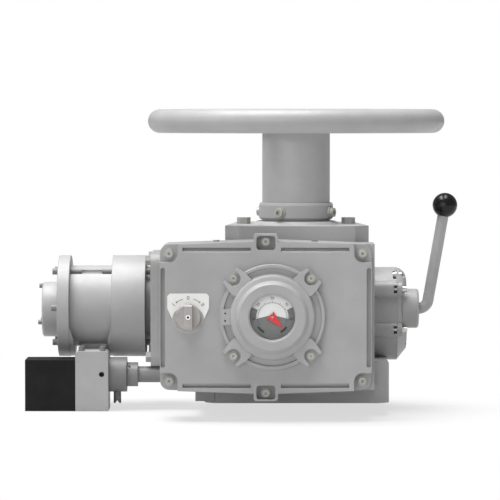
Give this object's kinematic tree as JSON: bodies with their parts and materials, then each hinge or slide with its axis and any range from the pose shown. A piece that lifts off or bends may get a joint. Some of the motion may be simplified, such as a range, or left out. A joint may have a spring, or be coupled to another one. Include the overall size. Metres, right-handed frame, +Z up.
{
  "type": "multi-turn valve actuator",
  "caption": "Motor driven valve actuator with handwheel, clutch lever, flanged motor, dial cover, selector knob and a small air brake block.",
  "frame": {"origin": "stem axis, in the plane of the valve flange face", "axes": "+Z up along the valve stem; the dial and selector face -Y; +X to the lever side, -X to the motor and air block"},
  "size_m": [0.8748, 0.615, 0.6093],
  "materials": {
    "grey_casting": "satin",
    "grey_motor": "satin",
    "grey_wheel": "satin",
    "screw_steel": "satin",
    "shaft_steel": "machined",
    "bronze": "machined",
    "black_box": "matte",
    "black_knob": "gloss",
    "plate_white": "satin",
    "dial_white": "matte",
    "pointer_red": "satin",
    "window_glass": "clear",
    "seal_rubber": "matte",
    "inner_plastic": "matte",
    "friction_lining": "rough",
    "winding": "varnished"
  },
  "bodies": {
    "housing": {"gear_case": "grey_casting", "top_plate": "grey_casting", "plate_screws": "screw_steel", "side_housing": "grey_casting", "side_cover": "grey_casting", "side_bolts": "screw_steel", "control_housing": "grey_casting", "housing_plugs": "grey_casting", "cover_gasket": "seal_rubber", "front_cover": "grey_casting", "cover_screws": "screw_steel", "bezel": "grey_casting", "bezel_screws": "screw_steel", "dial_glass": "window_glass", "dial_face": "dial_white", "dial_gear_block": "grey_casting", "selector_plate": "plate_white", "selector_switch": "black_box", "terminal_block": "inner_plastic", "motor_adapter": "grey_casting", "adapter_bolts": "screw_steel", "drive_end_ring": "grey_motor", "motor_body": "grey_motor", "motor_end_flange": "grey_motor", "motor_bolts": "screw_steel", "motor_end_cover": "grey_motor", "stator": "winding", "shaft_bearings": "shaft_steel", "sleeve_bearings": "shaft_steel", "guide_rod": "shaft_steel", "plain_bushes": "bronze", "air_block": "grey_casting", "valve_box": "black_box", "rod_gland": "grey_casting"},
    "handwheel": {"column": "grey_wheel", "collar": "grey_wheel", "collar_screws": "screw_steel", "handwheel_hub": "grey_wheel", "handwheel_spokes": "grey_wheel", "handwheel_rim": "grey_wheel"},
    "sleeve": {"drive_sleeve": "shaft_steel", "stem_nut": "bronze"},
    "clutch": {"clutch_ring": "shaft_steel"},
    "counter": {"counter_pinion": "shaft_steel"},
    "dial_pointer": {"pointer": "pointer_red", "pointer_shaft": "shaft_steel"},
    "motor_shaft": {"rotor_shaft": "shaft_steel", "shaft_coupling": "shaft_steel", "worm_shaft": "shaft_steel"},
    "wheel": {"worm_wheel": "bronze", "clutch_lining": "friction_lining"},
    "selector": {"selector_knob": "screw_steel"},
    "lever": {"lever_shaft": "shaft_steel", "lever_hub": "grey_casting", "lever_rod": "grey_wheel", "lever_ball": "black_knob"},
    "fork": {"shift_fork": "shaft_steel"},
    "brake": {"brake_rod": "shaft_steel", "stop_collar": "shaft_steel", "brake_shoe": "friction_lining"}
  },
  "joints": [
    {"name": "handwheel_turn", "type": "hinge", "parent": "housing", "child": "handwheel", "pos_m": [0, 0, 0.5], "axis": [0, 0, 1], "range_deg": [0, 2925]},
    {"name": "sleeve_turn", "type": "hinge", "parent": "housing", "child": "sleeve", "pos_m": [0, 0, 0.15], "axis": [0, 0, 1], "range_deg": [0, 2925]},
    {"name": "clutch_shift", "type": "slide", "parent": "sleeve", "child": "clutch", "axis": [0, 0, 1], "range_m": [-0.0137, 0]},
    {"name": "counter_turn", "type": "hinge", "parent": "housing", "child": "counter", "pos_m": [-0.05, -0.0866, 0.11], "axis": [0, 0, 1], "range_deg": [-8775, 0]},
    {"name": "pointer_turn", "type": "hinge", "parent": "housing", "child": "dial_pointer", "pos_m": [-0.05, -0.297, 0.18], "axis": [0, -1, 0], "range_deg": [0, 277.1]},
    {"name": "motor_turn", "type": "hinge", "parent": "housing", "child": "motor_shaft", "pos_m": [-0.3, 0.095, 0.18], "axis": [1, 0, 0], "continuous": true},
    {"name": "wheel_turn", "type": "hinge", "parent": "housing", "child": "wheel", "pos_m": [0, 0, 0.18], "axis": [0, 0, 1], "continuous": true},
    {"name": "selector_turn", "type": "hinge", "parent": "housing", "child": "selector", "pos_m": [-0.2135, -0.29, 0.18], "axis": [0, -1, 0], "range_deg": [-45, 45]},
    {"name": "lever_pull", "type": "hinge", "parent": "housing", "child": "lever", "pos_m": [0.23, 0, 0.18], "axis": [1, 0, 0], "range_deg": [0, 40]},
    {"name": "fork_shift", "type": "slide", "parent": "housing", "child": "fork", "axis": [0, 0, 1], "range_m": [-0.0137, 0]},
    {"name": "brake_stroke", "type": "slide", "parent": "housing", "child": "brake", "axis": [1, 0, 0], "range_m": [0, 0.025]}
  ],
  "couplings": [
    {"joint": "sleeve_turn", "follows": "handwheel_turn", "ratio": 1},
    {"joint": "counter_turn", "follows": "handwheel_turn", "ratio": -3},
    {"joint": "pointer_turn", "follows": "handwheel_turn", "ratio": 0.094701},
    {"joint": "wheel_turn", "follows": "motor_turn", "ratio": 0.035714},
    {"joint": "clutch_shift", "follows": "lever_pull", "m_per_rad": -0.019595},
    {"joint": "fork_shift", "follows": "lever_pull", "m_per_rad": -0.019595}
  ]
}
